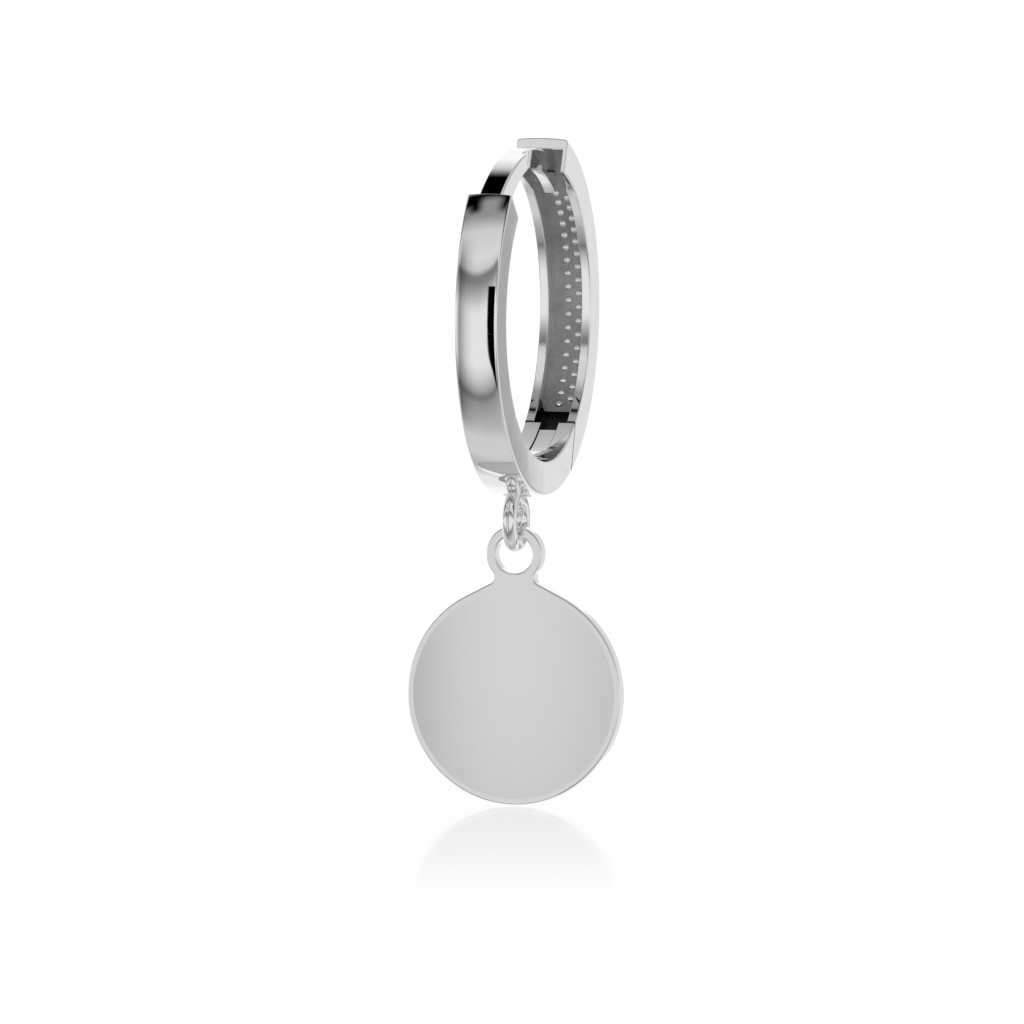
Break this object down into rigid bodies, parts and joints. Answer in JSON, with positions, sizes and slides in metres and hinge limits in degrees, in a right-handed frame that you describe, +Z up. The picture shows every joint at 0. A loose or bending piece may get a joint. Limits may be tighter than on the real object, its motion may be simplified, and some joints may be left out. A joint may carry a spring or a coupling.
{
  "type": "hoop charm earring",
  "caption": "Hinged huggie hoop earring in polished silver with a plain round disc charm hanging from a soldered jump ring.",
  "frame": {"origin": "middle of the bare ear post between the two halves, where the ear lobe sits", "axes": "+X across the band, +Y from the front half to the back half, +Z up, from the charm to the ear"},
  "size_m": [0.008, 0.0133, 0.0239],
  "materials": {
    "polished_silver": "high polish, rhodium white",
    "satin_silver": "fine satin on the disc's faces, polished at its edge"
  },
  "bodies": {
    "front": {"front_half": "polished_silver", "hinge_pin": "polished_silver"},
    "back": {"back_half": "polished_silver"},
    "charm": {"disc_charm": "satin_silver"}
  },
  "joints": [
    {"name": "back_hinge", "type": "hinge", "parent": "front", "child": "back", "pos_m": [0, 0.00328, -0.01131], "axis": [-1, 0, 0], "range_deg": [0, 50]},
    {"name": "charm_swing", "type": "hinge", "parent": "front", "child": "charm", "pos_m": [0, 0.00005, -0.0131], "axis": [1, 0, 0], "range_deg": [-60, 60]}
  ]
}
